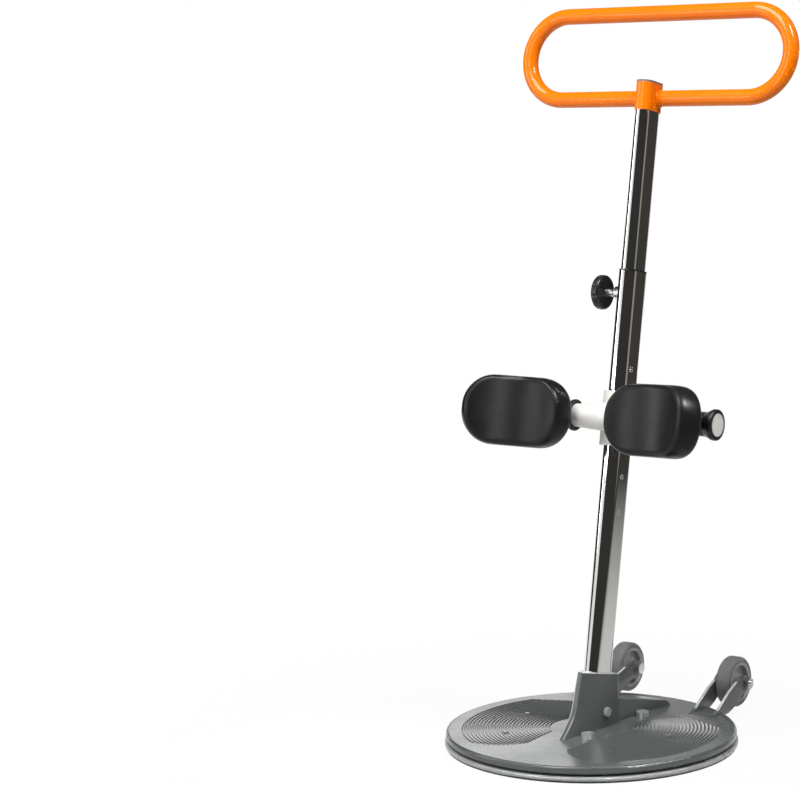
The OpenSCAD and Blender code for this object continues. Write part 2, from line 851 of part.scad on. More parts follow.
// Pad outline as points on its unrolled face, inset by d, from the outer end round
function pad_corner(cx, cz, r, a0) = [for (i = [0 : pad_steps]) let (a = a0 + 90 * i / pad_steps)
    [cx + r * cos(a), cz + r * sin(a)]];
function pad_loop(d) = let (w = pad_w / 2 - d, h = pad_h / 2 - d,
    r = min(pad_round - d / 2, full_share * h)) concat(
        pad_corner(w - r, h - r, r, 0), pad_corner(r - w, h - r, r, 90),
        pad_corner(r - w, r - h, r, 180), pad_corner(w - r, r - h, r, 270));
function bent(p, t) = let (a = p[0] / pad_curve * 180 / PI, r = pad_curve + t)
    [r * sin(a), r * cos(a) - pad_curve, p[1]];
function pulled(p) = [p[0] * (1 - drawn_in / pad_w * pow(2 * p[1] / pad_h, 2)), p[1]];
function pad_layer(d, t) = [for (p = pad_loop(d)) bent(pulled(p), t)];

// The layers run from the back to the front, with a crown on the side that meets the leg
module cushion() {
    half = pad_t / 2;
    inner = pad_h / 2 - rim_depth;
    back = [for (s = [dome_shares[1], dome_shares[0]])
        pad_layer(rim_depth + inner * (1 - s) * dome_share, half)];
    rim = [for (a = [len(rim_angles) - 1 : -1 : 0])
        let (s = sin(rim_angles[a])) pad_layer(rim_depth * (1 - pow(cos(rim_angles[a]), rim_shape)),
            half * sign(s) * pow(abs(s), rim_shape))];
    front = [for (s = dome_shares)
        pad_layer(rim_depth + inner * (1 - s) * dome_share, -half - pad_crown * (1 - s))];
    layers = concat(back, rim, front);
    n = len(layers[0]);
    m = len(layers);
    points = concat([for (l = layers) each l], [bent([0, 0], half), bent([0, 0], -half - pad_crown)]);
    walls = [for (k = [0 : m - 2]) for (i = [0 : n - 1]) let (j = (i + 1) % n)
        each [[k * n + i, k * n + j, (k + 1) * n + i], [k * n + j, (k + 1) * n + j, (k + 1) * n + i]]];
    ends = [for (i = [0 : n - 1]) let (j = (i + 1) % n)
        each [[m * n, j, i], [m * n + 1, (m - 1) * n + i, (m - 1) * n + j]]];
    polyhedron(points, concat(walls, ends));
}

module pad(side) {
    color([0.12, 0.12, 0.12]) at_arm() sided(side) at_pad() cushion();
}

// Transport wheels
module at_wheel(side) {
    sided(side) translate([wheel_x, wheel_y, wheel_z]) children();
}

module tyre(side) {
    color("dimgray") at_wheel(side) along_x(-tyre_w / 2) difference() {
        round_disc(wheel_d / 2, tyre_w, tyre_edge);
        translate([0, 0, -over]) cylinder(d = rim_d + 2 * fit, h = tyre_w + 2 * over);
    }
}

module wheel_hub(side) {
    w = tyre_w - 2 * hub_side;
    color("gray") at_wheel(side) along_x(-w / 2) difference() {
        union() {
            ring(rim_d / 2, rim_d / 2 - rim_ring, w);
            translate([0, 0, (w - web_t) / 2]) cylinder(d = rim_d - rim_ring, h = web_t);
            cylinder(d = wheel_boss_d, h = w);
        }
        translate([0, 0, -over]) cylinder(d = axle_d + 2 * (run + wheel_bush_t), h = w + 2 * over);
    }
}

module wheel_bush(side) {
    half = spacer_half - run;
    bore_r = axle_d / 2 + run;
    color("ivory") at_wheel(side) along_x(-half) ring(bore_r + wheel_bush_t - fit, bore_r, 2 * half);
}

module fork_profile() {
    run_to = [for (p = concat(fork_top_shares, fork_low_shares))
        [(p[0] - 1) * fork_run, p[1] * fork_rise]];
    sunk = [[web_len - fork_run, -web_sink], [-fork_run, -web_sink]];
    translate([0, plate_z1 - wheel_z]) polygon(concat(run_to, sunk));
}

module fork(side) {
    color("dimgray") difference() {
        union() {
            difference() {
                at_wheel(side) rotate(arm_splay) for (x = [-arm_out, arm_in]) translate([x, 0, 0])
                    rotate([90, 0, 90]) linear_extrude(arm_t) fork_profile();
                translate([0, 0, plate_z0 - over]) cylinder(r = plate_r + seam, h = plate_h + over);
            }
            for (x = [-fork_face, spacer_half]) at_wheel(side) along_x(x)
                cylinder(d = fork_boss_d, h = fork_face - spacer_half);
            translate([0, 0, plate_z1 - flange_t]) fork_web(side, 0);
        }
        at_wheel(side) along_x(-2 * fork_face) cylinder(d = axle_d + 2 * fit, h = 4 * fork_face);
        each_fork_screw(side) cylinder(d = fork_screw_d + 2 * fit, h = fork_screw_tip);
    }
}

module fork_screws() {
    color("silver") for (side = [-1, 1]) each_fork_screw(side) {
        translate([0, 0, skin_z0 - fork_screw_head_t]) cylinder(d = fork_screw_head_d, h = fork_screw_head_t);
        translate([0, 0, skin_z0 - over]) cylinder(d = fork_screw_d, h = fork_screw_tip - skin_z0);
    }
}

module axle(side) {
    color("silver") at_wheel(side) {
        along_x(-fork_face - axle_head_t) hex(axle_af, axle_head_t);
        along_x(-fork_face - over) cylinder(d = axle_d, h = 2 * fork_face + axle_nut_t + axle_show + over);
    }
}

module axle_nuts() {
    color("silver") for (side = [-1, 1]) at_wheel(side) along_x(fork_face) difference() {
        hex(axle_af, axle_nut_t);
        translate([0, 0, -over]) cylinder(d = axle_d + 2 * fit, h = axle_nut_t + 2 * over);
    }
}

floor_disc();
grip_ring();
pivot_bolt();
pivot_washer();
pivot_nut();
thrust_washer();
ball_cage();
bearing_balls();
foot_plate();
pivot_bush();
mast_socket();
socket_bolts();
clamp_bolt();
clamp_nut();
outer_tube();
guide_bush();
lock_boss();
fork(-1);  // left_fork
fork(1);  // right_fork
fork_screws();
axle(-1);  // left_axle
axle(1);  // right_axle
axle_nuts();
tyre(-1);  // left_tyre
wheel_hub(-1);  // left_hub
wheel_bush(-1);  // left_wheel_bush
tyre(1);  // right_tyre
wheel_hub(1);  // right_hub
wheel_bush(1);  // right_wheel_bush
inner_tube();
glide_foot();
handle_collar();
handle_loop();
end_plug();
lock_pad();
lock_spindle();
lock_knob();
knee_bracket();
bracket_liner();
cross_shaft();
shaft_screws();
clamp_pad();
clamp_spindle();
clamp_knob();
pad_hub(-1);  // left_pad_hub
pad_carrier(-1);  // left_pad_carrier
pad(-1);  // left_pad
end_cap(-1);  // left_end_cap
pad_hub(1);  // right_pad_hub
pad_carrier(1);  // right_pad_carrier
pad(1);  // right_pad
end_cap(1);  // right_end_cap
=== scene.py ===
import math
import bmesh
import bpy
from mathutils import Matrix, Vector


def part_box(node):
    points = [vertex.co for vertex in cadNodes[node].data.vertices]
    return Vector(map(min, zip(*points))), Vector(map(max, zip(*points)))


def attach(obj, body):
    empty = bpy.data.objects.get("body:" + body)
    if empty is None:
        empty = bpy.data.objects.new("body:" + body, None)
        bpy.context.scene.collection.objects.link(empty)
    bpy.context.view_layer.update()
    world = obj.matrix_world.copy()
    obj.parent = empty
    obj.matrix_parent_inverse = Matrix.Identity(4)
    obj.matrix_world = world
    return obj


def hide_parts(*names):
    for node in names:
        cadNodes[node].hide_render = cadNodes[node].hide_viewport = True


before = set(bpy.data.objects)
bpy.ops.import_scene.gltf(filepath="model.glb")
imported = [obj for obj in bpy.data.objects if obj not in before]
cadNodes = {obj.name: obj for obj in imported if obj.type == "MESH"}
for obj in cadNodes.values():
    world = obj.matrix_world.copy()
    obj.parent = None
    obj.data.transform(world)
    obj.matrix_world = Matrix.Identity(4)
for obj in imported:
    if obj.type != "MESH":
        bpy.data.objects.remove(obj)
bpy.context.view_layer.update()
scene = bpy.context.scene
print("frame loaded with", len(cadNodes), "solids")

# camera, at the photo's viewpoint
shot = {
    "turn": 0.5656,        # radians round from the front
    "distance": 3.8,
    "height": 1.04624,
    "yaw": 0.0736,
    "pitch": 0.13,
    "roll": -0.0274,
    "lens": 113.73,
    "sensor": 36,
    "farthest": 60,
}


def aimCamera():
    heading = shot["turn"] + shot["yaw"]
    tip = shot["pitch"]
    flat = math.cos(tip)
    forward = Vector((-math.sin(heading) * flat, math.cos(heading) * flat, -math.sin(tip)))
    across = Vector((math.cos(heading), math.sin(heading), 0))
    upward = across.cross(forward)
    c, s = math.cos(shot["roll"]), math.sin(shot["roll"])
    side = across * c + upward * s
    top = upward * c - across * s
    data = bpy.data.cameras.new("studioCamera")
    data.lens = shot["lens"]
    data.sensor_width = shot["sensor"]
    data.sensor_fit = "HORIZONTAL"
    data.clip_end = shot["farthest"]
    cam = bpy.data.objects.new("studioCamera", data)
    spot = Vector((math.sin(shot["turn"]), -math.cos(shot["turn"]), 0)) * shot["distance"]
    spot.z = shot["height"]
    axes = Matrix((side, top, -forward)).transposed().to_4x4()
    cam.matrix_world = Matrix.Translation(spot) @ axes
    scene.collection.objects.link(cam)
    scene.camera = cam


aimCamera()
print("camera set")


# node helpers
def wire(tree, a, b):
    tree.links.new(a, b)


def addNode(tree, kind, inputs=None, **values):
    node = tree.nodes.new(kind)
    for key, value in values.items():
        setattr(node, key, value)
    for key, value in (inputs or {}).items():
        node.inputs[key].default_value = value
    return node


def startGroup(name, takes, gives):
    tree = bpy.data.node_groups.new(name, "ShaderNodeTree")
    for label, kind, value in takes:
        entry = tree.interface.new_socket(name=label, in_out="INPUT", socket_type=kind)
        entry.default_value = value
    for label, kind in gives:
        tree.interface.new_socket(name=label, in_out="OUTPUT", socket_type=kind)
    return tree, tree.nodes.new("NodeGroupInput"), tree.nodes.new("NodeGroupOutput")


# fine pitted skin of a moulded or coated surface
def makeGrainGroup():
    tree, take, give = startGroup(
        "mouldGrain",
        [("Scale", "NodeSocketFloat", 900)],
        [("Height", "NodeSocketFloat")],
    )
    coord = addNode(tree, "ShaderNodeTexCoord")
    fine = addNode(tree, "ShaderNodeTexNoise", {"Detail": 3})
    cells = addNode(tree, "ShaderNodeTexVoronoi")
    blend = addNode(tree, "ShaderNodeMath", {1: 0.5}, operation="MULTIPLY_ADD")
    for tex in (fine, cells):
        wire(tree, coord.outputs["Object"], tex.inputs["Vector"])
        wire(tree, take.outputs["Scale"], tex.inputs["Scale"])
    wire(tree, cells.outputs["Distance"], blend.inputs[0])
    wire(tree, fine.outputs["Fac"], blend.inputs[2])
    wire(tree, blend.outputs[0], give.inputs["Height"])
    return tree


# slow drift between two tones
def makeToneGroup():
    tree, take, give = startGroup(
        "toneDrift",
        [("Light", "NodeSocketColor", (0.5, 0.5, 0.5, 1)),
         ("Dark", "NodeSocketColor", (0.4, 0.4, 0.4, 1)),
         ("Scale", "NodeSocketFloat", 14)],
        [("Color", "NodeSocketColor"), ("Drift", "NodeSocketFloat")],
    )
    coord = addNode(tree, "ShaderNodeTexCoord")
    cloud = addNode(tree, "ShaderNodeTexNoise", {"Detail": 5, "Roughness": 0.6})
    spread = addNode(tree, "ShaderNodeMapRange", {"From Min": 0.3, "From Max": 0.7},
                     interpolation_type="SMOOTHSTEP")
    mix = addNode(tree, "ShaderNodeMix", data_type="RGBA")
    wire(tree, coord.outputs["Object"], cloud.inputs["Vector"])
    wire(tree, take.outputs["Scale"], cloud.inputs["Scale"])
    wire(tree, cloud.outputs["Fac"], spread.inputs["Value"])
    wire(tree, spread.outputs["Result"], mix.inputs["Factor"])
    wire(tree, take.outputs["Dark"], mix.inputs["A"])
    wire(tree, take.outputs["Light"], mix.inputs["B"])
    wire(tree, mix.outputs["Result"], give.inputs["Color"])
    wire(tree, spread.outputs["Result"], give.inputs["Drift"])
    return tree


# short rub marks, long one way
def makeScuffGroup():
    tree, take, give = startGroup(
        "rubMarks",
        [("Scale", "NodeSocketFloat", 60), ("Amount", "NodeSocketFloat", 0.3)],
        [("Mask", "NodeSocketFloat")],
    )
    coord = addNode(tree, "ShaderNodeTexCoord")
    turn = addNode(tree, "ShaderNodeMapping", {"Rotation": (0.4, 0.9, 0.3), "Scale": (1, 9, 1.4)})
    streak = addNode(tree, "ShaderNodeTexNoise", {"Detail": 6})
    cut = addNode(tree, "ShaderNodeMapRange", {"From Min": 0.56, "From Max": 0.78})
    times = addNode(tree, "ShaderNodeMath", operation="MULTIPLY")
    wire(tree, coord.outputs["Object"], turn.inputs["Vector"])
    wire(tree, turn.outputs["Vector"], streak.inputs["Vector"])
    wire(tree, take.outputs["Scale"], streak.inputs["Scale"])
    wire(tree, streak.outputs["Fac"], cut.inputs["Value"])
    wire(tree, cut.outputs["Result"], times.inputs[0])
    wire(tree, take.outputs["Amount"], times.inputs[1])
    wire(tree, times.outputs[0], give.inputs["Mask"])
    return tree


# pale film that settles on faces that look up
def makeDustGroup():
    tree, take, give = startGroup(
        "settledDust",
        [("Amount", "NodeSocketFloat", 0.2)],
        [("Mask", "NodeSocketFloat")],
    )
    coord = addNode(tree, "ShaderNodeTexCoord")
    shape = addNode(tree, "ShaderNodeNewGeometry")
    split = addNode(tree, "ShaderNodeSeparateXYZ")
    upward = addNode(tree, "ShaderNodeMapRange", {"From Min": 0.55, "From Max": 1})
    patch = addNode(tree, "ShaderNodeTexNoise", {"Scale": 42, "Detail": 6})
    both = addNode(tree, "ShaderNodeMath", operation="MULTIPLY")
    times = addNode(tree, "ShaderNodeMath", operation="MULTIPLY")
    wire(tree, coord.outputs["Object"], patch.inputs["Vector"])
    wire(tree, shape.outputs["Normal"], split.inputs["Vector"])
    wire(tree, split.outputs["Z"], upward.inputs["Value"])
    wire(tree, upward.outputs["Result"], both.inputs[0])
    wire(tree, patch.outputs["Fac"], both.inputs[1])
    wire(tree, both.outputs[0], times.inputs[0])
    wire(tree, take.outputs["Amount"], times.inputs[1])
    wire(tree, times.outputs[0], give.inputs["Mask"])
    return tree


grainGroup = makeGrainGroup()
toneGroup = makeToneGroup()
scuffGroup = makeScuffGroup()
dustGroup = makeDustGroup()

plainLook = {              # what a finish has unless it says otherwise
    "metal": 0, "coat": 0, "coatRough": 0.1, "gloss": 0.5, "drift": 14, "dust": 0.06,
    "rub": 0.2, "rubScale": 40, "rubGain": 1.35, "film": (0.55, 0.54, 0.52),
    "grain": 900, "grainForce": 0.25, "grainDepth": 0.0002,
}


def placeGroup(tree, group, **values):
    node = tree.nodes.new("ShaderNodeGroup")
    node.node_tree = group
    for key, value in values.items():
        node.inputs[key].default_value = value
    return node


def makeFinish(name, ownLook):
    look = {**plainLook, **ownLook}
    paler = tuple(min(1, c * look["rubGain"]) for c in look["light"])
    mat = bpy.data.materials.new(name)
    mat.use_nodes = True
    tree = mat.node_tree
    skin = tree.nodes["Principled BSDF"]
    skin.inputs["Metallic"].default_value = look["metal"]
    skin.inputs["Coat Weight"].default_value = look["coat"]
    skin.inputs["Coat Roughness"].default_value = look["coatRough"]
    skin.inputs["Specular IOR Level"].default_value = look["gloss"]
    tone = placeGroup(tree, toneGroup, Light=look["light"] + (1,), Dark=look["dark"] + (1,),
                      Scale=look["drift"])
    rub = placeGroup(tree, scuffGroup, Scale=look["rubScale"], Amount=look["rub"])
    dust = placeGroup(tree, dustGroup, Amount=look["dust"])
    grain = placeGroup(tree, grainGroup, Scale=look["grain"])
    worn = addNode(tree, "ShaderNodeMix", {"B": look.get("worn", paler) + (1,)}, data_type="RGBA")
    film = addNode(tree, "ShaderNodeMix", {"B": look["film"] + (1,)}, data_type="RGBA")
    rough = addNode(tree, "ShaderNodeMapRange",
                    {"To Min": look["rough"][0], "To Max": look["rough"][1]})
    bump = addNode(tree, "ShaderNodeBump",
                   {"Strength": look["grainForce"], "Distance": look["grainDepth"]})
    wire(tree, tone.outputs["Color"], worn.inputs["A"])
    wire(tree, rub.outputs["Mask"], worn.inputs["Factor"])
    wire(tree, worn.outputs["Result"], film.inputs["A"])
    wire(tree, dust.outputs["Mask"], film.inputs["Factor"])
    wire(tree, film.outputs["Result"], skin.inputs["Base Color"])
    wire(tree, tone.outputs["Drift"], rough.inputs["Value"])
    wire(tree, rough.outputs["Result"], skin.inputs["Roughness"])
    wire(tree, grain.outputs["Height"], bump.inputs["Height"])
    wire(tree, bump.outputs["Normal"], skin.inputs["Normal"])
    return mat


finishes = {
    "baseGrey": {
        "light": (0.064, 0.07, 0.068), "dark": (0.055, 0.06, 0.058), "rough": (0.2, 0.27),
        "drift": 9, "grain": 1100, "grainForce": 0.1, "dust": 0.04, "rub": 0.1,
    },
    "treadGrey": {
        "light": (0.052, 0.057, 0.056), "dark": (0.044, 0.048, 0.047), "rough": (0.08, 0.12),
        "drift": 9, "grain": 1100, "grainForce": 0.05, "dust": 0.015, "rub": 0.08, "gloss": 0.75,
    },
    # pale grey painted on the fin's and forks' front edges and on thin rings, as highlights
    "paintedHighlightGrey": {
        "light": (0.4, 0.41, 0.405), "dark": (0.32, 0.33, 0.325), "rough": (0.2, 0.3),
        "drift": 40, "grain": 1100, "grainForce": 0.08, "dust": 0.02,
    },
    # the floor disc's lighter grey is painted to stand in for the highlight along its edge
    "discGrey": {
        "light": (0.27, 0.28, 0.275), "dark": (0.23, 0.24, 0.235), "rough": (0.24, 0.32),
        "drift": 9, "grain": 1100, "grainForce": 0.1, "rub": 0.1,
    },
    "floorRubber": {
        "light": (0.03, 0.03, 0.03), "dark": (0.018, 0.018, 0.018), "rough": (0.7, 0.85),
        "grain": 700, "grainForce": 0.4,
    },
    "zincSteel": {
        "light": (0.74, 0.74, 0.73), "dark": (0.6, 0.6, 0.6), "rough": (0.16, 0.3), "metal": 1,
        "drift": 60, "grain": 1500, "grainForce": 0.06, "dust": 0.02,
    },
    "boltGrey": {
        "light": (0.62, 0.625, 0.62), "dark": (0.52, 0.525, 0.52), "rough": (0.26, 0.36),
        "metal": 0.75, "drift": 90, "grain": 1200, "grainForce": 0.1, "dust": 0.02,
    },
    "polishedTube": {
        "light": (0.86, 0.86, 0.85), "dark": (0.8, 0.8, 0.79), "rough": (0.05, 0.075), "metal": 1,
        "drift": 11, "grain": 300, "grainForce": 0.0002, "dust": 0.01, "rub": 0.08,
        "worn": (0.7, 0.69, 0.68),
    },
    "bearingPlastic": {
        "light": (0.72, 0.7, 0.62), "dark": (0.62, 0.6, 0.52), "rough": (0.4, 0.55),
    },
    "orangeCoat": {
        "light": (0.76, 0.158, 0.001), "dark": (0.72, 0.145, 0.001), "rough": (0.3, 0.36),
        "coat": 0.5, "coatRough": 0.11, "gloss": 0.05, "drift": 20, "grain": 380,
        "grainForce": 0.0005, "dust": 0.002, "rub": 0.02, "worn": (0.95, 0.26, 0.005),
    },
    "plugGrey": {
        "light": (0.17, 0.16, 0.155), "dark": (0.13, 0.125, 0.12), "rough": (0.35, 0.5),
    },
    "bracketWhite": {
        "light": (0.62, 0.61, 0.575), "dark": (0.57, 0.56, 0.528), "rough": (0.3, 0.42),
        "drift": 18, "grain": 800, "grainForce": 0.1, "rub": 0.12, "worn": (0.55, 0.54, 0.52),
    },
    "blackPlastic": {
        "light": (0.009, 0.009, 0.0095), "dark": (0.006, 0.006, 0.0065), "rough": (0.26, 0.36),
        "dust": 0.015, "rub": 0.12, "worn": (0.03, 0.03, 0.03),
    },
    "padSkin": {
        "light": (0.0085, 0.0085, 0.0095), "dark": (0.0065, 0.0065, 0.007), "rough": (0.28, 0.34),
        "drift": 16, "grain": 1300, "grainForce": 0.12, "grainDepth": 0.0001, "gloss": 0.21,
        "dust": 0.004, "rub": 0.05, "worn": (0.016, 0.016, 0.017),
    },
    "capGrey": {
        "light": (0.5, 0.5, 0.475), "dark": (0.46, 0.46, 0.437), "rough": (0.35, 0.5),
    },
    "tyreGrey": {
        "light": (0.125, 0.13, 0.128), "dark": (0.1, 0.104, 0.102), "rough": (0.55, 0.7),
        "drift": 45, "grain": 1000, "grainForce": 0.35, "rub": 0.25, "worn": (0.16, 0.16, 0.155),
    },
    "printGrey": {
        "light": (0.62, 0.62, 0.6), "dark": (0.5, 0.5, 0.49), "rough": (0.5, 0.65), "drift": 80,
    },
    "wheelGrey": {
        "light": (0.27, 0.28, 0.276), "dark": (0.23, 0.24, 0.236), "rough": (0.35, 0.48),
        "drift": 40,
    },
}
materials = {name: makeFinish(name, look) for name, look in finishes.items()}

dressed = {                # the finish that each solid gets
    "discGrey": ["floor_disc"],
    "baseGrey": ["foot_plate", "mast_socket", "left_fork", "right_fork"],
    "floorRubber": ["grip_ring"],
    "zincSteel": ["pivot_bolt", "pivot_washer", "pivot_nut", "bearing_balls", "clamp_nut",
                  "fork_screws", "left_axle", "right_axle", "axle_nuts", "lock_boss",
                  "lock_spindle", "clamp_spindle", "cross_shaft", "shaft_screws"],
    "boltGrey": ["socket_bolts", "clamp_bolt"],
    "polishedTube": ["outer_tube", "inner_tube"],
    "bearingPlastic": ["thrust_washer", "ball_cage", "pivot_bush", "left_wheel_bush",
                       "right_wheel_bush", "glide_foot", "lock_pad", "clamp_pad",
                       "bracket_liner"],
    "orangeCoat": ["handle_collar", "handle_loop"],
    "plugGrey": ["end_plug"],
    "bracketWhite": ["knee_bracket"],
    "blackPlastic": ["guide_bush", "lock_knob", "clamp_knob", "left_pad_hub", "right_pad_hub",
                     "left_pad_carrier", "right_pad_carrier"],
    "padSkin": ["left_pad", "right_pad"],
    "capGrey": ["left_end_cap", "right_end_cap"],
    "tyreGrey": ["left_tyre", "right_tyre"],
    "wheelGrey": ["left_hub", "right_hub"],
}
for finish, names in dressed.items():
    for name in names:
        slots = cadNodes[name].data.materials
        slots.clear()
        slots.append(materials[finish])
print("finishes made:", len(materials))

# mesh helpers
origin = (0, 0, 0)
upAxis = (0, 0, 1)
joinWithin = 1e-5          # corners of a solid's loose triangles closer than this are one
bevelSteps = 3


def turnBy(degrees, axis, size=4):
    return Matrix.Rotation(math.radians(degrees), size, axis)


mastLean = turnBy(-11.5, "X")      # mast axis through the origin


def linkMesh(name, bm):
    mesh = bpy.data.meshes.new(name)
    bm.to_mesh(mesh)
    bm.free()
    obj = bpy.data.objects.new(name, mesh)
    scene.collection.objects.link(obj)
    return obj


def addPiece(name, bm, finish, body, smooth=True):
    obj = linkMesh(name, bm)
    obj.data.materials.append(materials[finish])
    for face in obj.data.polygons:
        face.use_smooth = smooth
    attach(obj, body)
    return obj


# copy of a solid's mesh
def copyOf(node):
    bm = bmesh.new()
    bm.from_mesh(cadNodes[node].data)
    bmesh.ops.remove_doubles(bm, verts=bm.verts, dist=joinWithin)
    return bm


# mesh of a helper object with its modifiers or text applied, the helper itself goes
def takeMesh(helper):
    graph = bpy.context.evaluated_depsgraph_get()
    made = bpy.data.meshes.new_from_object(helper.evaluated_get(graph))
    bpy.data.objects.remove(helper)
    bm = bmesh.new()
    bm.from_mesh(made)
    return bm


def drawLine(bm, points):
    line = [bm.verts.new(point) for point in points]
    return line, [bm.edges.new(pair) for pair in zip(line, line[1:])]


def spinRound(bm, geom, centre, axis, steps):
    bmesh.ops.spin(bm, geom=geom, cent=centre, axis=axis, angle=2 * math.pi, steps=steps,
                   use_merge=True)


# round wire bent to a full ring
def spinBead(bm, bead, out, axis, steps, facets=10):
    hoop = bmesh.ops.create_circle(bm, segments=facets, radius=bead)["verts"]
    bmesh.ops.rotate(bm, cent=origin, matrix=turnBy(90, "X", 3), verts=hoop)
    bmesh.ops.translate(bm, vec=out, verts=hoop)
    spinRound(bm, hoop + bm.edges[:], origin, axis, steps)


def cutOff(bm, point, normal, near):
    return bmesh.ops.bisect_plane(bm, geom=bm.verts[:] + bm.edges[:] + bm.faces[:], dist=near,
                                  plane_co=point, plane_no=normal, clear_outer=True)


def breakEdges(bm, edges, width):
    bmesh.ops.bevel(bm, geom=edges, offset=width, segments=bevelSteps, profile=0.5,
                    affect="EDGES", material=-1)


def outerEdges(bm):
    return [edge for edge in bm.edges if edge.is_boundary]


def facesOut(bm):
    bmesh.ops.recalc_face_normals(bm, faces=bm.faces)


# anti-slip rings, one zone each side of the mast
tread = {
    "pitch": 0.00568, "first": 0.0625, "last": 0.2035,
    "top": 0.024, "proud": 0.00004, "rise": 0.0011, "sink": 0.0012,
    "profile": (0, 0.15, 0.5, 0.85, 1, 0.85, 0.5, 0.15),    # one ridge, shares of the rise
    "sweep": 154, "steps": 112, "near": 1e-7,
    "rearAt": (0, 0.13, 0), "rear": (0, 1, 0),
    "slantAt": (0.099, 0.125, 0), "slant": (0.355, 0.935, 0),    # falls off beside the fork
    "innerAt": {-1: (0.031, -0.085, 0), 1: (0.0425, -0.0555, 0)},    # right one clears a bolt
    "inner": {-1: (-0.994, 0.107, 0), 1: (-0.9989, 0.0472, 0)},
    "ends": [              # both ends of the zone are round
        {"centre": (0.097, 0.082, 0), "radius": 0.048, "angles": range(92, 177, 6)},
        {"centre": (0.105, -0.085, 0), "radius": 0.079, "angles": range(180, 306, 6)},
    ],
}


def treadRidges():
    shape = tread["profile"]
    count = int((tread["last"] - tread["first"]) / tread["pitch"]) * len(shape)
    points = []
    for k in range(count + 1):
        r = tread["first"] + k * tread["pitch"] / len(shape)
        h = tread["top"] + tread["proud"] + tread["rise"] * shape[k % len(shape)]
        points.append((r, 0, h))
    return points


def treadZone(side):
    bm = bmesh.new()
    line, edges = drawLine(bm, treadRidges())
    half = tread["sweep"] / 2
    bmesh.ops.rotate(bm, cent=origin, matrix=turnBy(-half, "Z", 3), verts=line)
    bmesh.ops.spin(bm, geom=line + edges, cent=origin, axis=upAxis,
                   angle=2 * math.radians(half), steps=tread["steps"])
    cuts = [(tread["rearAt"], tread["rear"]), (tread["slantAt"], tread["slant"]),
            (tread["innerAt"][side], tread["inner"][side])]
    for end in tread["ends"]:
        for a in end["angles"]:
            n = Vector((math.cos(math.radians(a)), math.sin(math.radians(a)), 0))
            cuts.append((Vector(end["centre"]) + n * end["radius"], n))
    for point, normal in cuts:
        cutOff(bm, point, normal, tread["near"])
    skirt = bmesh.ops.extrude_edge_only(bm, edges=outerEdges(bm))["geom"]
    for v in skirt:
        if isinstance(v, bmesh.types.BMVert):
            v.co.z = tread["top"] - tread["sink"]
    bmesh.ops.triangle_fill(bm, use_beauty=True, edges=outerEdges(bm))
    if side < 0:
        bmesh.ops.scale(bm, vec=(-1, 1, 1), verts=bm.verts)
    facesOut(bm)
    return bm


for side, name in ((-1, "leftTread"), (1, "rightTread")):
    addPiece(name, treadZone(side), "treadGrey", "platform")

# low moulded buttons in the tread
button = {
    "places": ((0.128, 0.017), (0.0955, -0.0935), (-0.128, 0.017), (-0.0955, -0.0935)),
    "line": ((0.0056, -0.0008), (0.0054, 0.0011), (0.0046, 0.0017), (0.0024, 0.0019), (0, 0.0019)),
    "steps": 28, "near": 1e-6,
}


def makeButtons():
    bm = bmesh.new()
    for x, y in button["places"]:
        line, edges = drawLine(bm, [(x + r, y, tread["top"] + h) for r, h in button["line"]])
        spinRound(bm, line + edges, (x, y, 0), upAxis, button["steps"])
    bmesh.ops.remove_doubles(bm, verts=bm.verts, dist=button["near"])
    bmesh.ops.holes_fill(bm, edges=outerEdges(bm))
    facesOut(bm)
    addPiece("plateButtons", bm, "treadGrey", "platform")


makeButtons()
print("tread rings made")

# knee pads, moulded foam with a firm skin
kneePad = {
    "seat": (0, -0.048, 0.5), "out": 0.124, "front": 0.052, "drop": 0.0025, "toe": 12,
    "curve": 0.2, "width": 0.177, "height": 0.109,
    "voxel": 0.0025, "settle": 0.5, "settleTurns": 6,
    "deep": 0.04, "corner": 0.05, "rim": 0.012, "boxy": 3.33, "crown": 0.0006, "drawn": 0.0015,
    "keep": (0.001, 0.004),      # the outer wall stays as remeshed
}


def padPlace(side):
    seat = Matrix.Translation(kneePad["seat"]) @ Matrix.Diagonal((side, 1, 1, 1))
    shift = Matrix.Translation((kneePad["out"], -kneePad["front"], -kneePad["drop"]))
    return mastLean @ seat @ shift @ turnBy(-kneePad["toe"], "Z")


def padBlank(node):
    blank = linkMesh("padBlank", copyOf(node))
    voxels = blank.modifiers.new("voxels", "REMESH")
    voxels.mode = "VOXEL"
    voxels.voxel_size = kneePad["voxel"]
    settle = blank.modifiers.new("settle", "SMOOTH")
    settle.factor = kneePad["settle"]
    settle.iterations = kneePad["settleTurns"]
    return takeMesh(blank)


# rounds the rim and crowns the face of a pad that lies in its own frame
def shapePad(bm):
    wide, tall, curve = kneePad["width"] / 2, kneePad["height"] / 2, kneePad["curve"]
    r, low, high = kneePad["corner"], *kneePad["keep"]
    for v in bm.verts:
        x, y, z = v.co
        ang = math.atan2(x, y + curve)
        depth = math.hypot(x, y + curve) - curve
        if depth > 0:
            continue
        u = ang * curve / (1 - kneePad["drawn"] / kneePad["width"] * (z / tall) ** 2)
        ox, oz = abs(u) - wide + r, abs(z) - tall + r
        inset = r - math.hypot(max(ox, 0), max(oz, 0)) - min(max(ox, oz), 0)
        if inset < low:
            continue
        share = 1 - min(1, inset / kneePad["rim"])
        even = -kneePad["deep"] / 2 * (1 - share ** kneePad["boxy"]) ** (1 / kneePad["boxy"])
        even -= kneePad["crown"] * min(1, inset / tall) ** 2
        f = min(1, (inset - low) / (high - low))
        depth += (even - depth) * f * f * (3 - 2 * f)
        reach = curve + depth
        v.co = Vector((reach * math.sin(ang), reach * math.cos(ang) - curve, z))


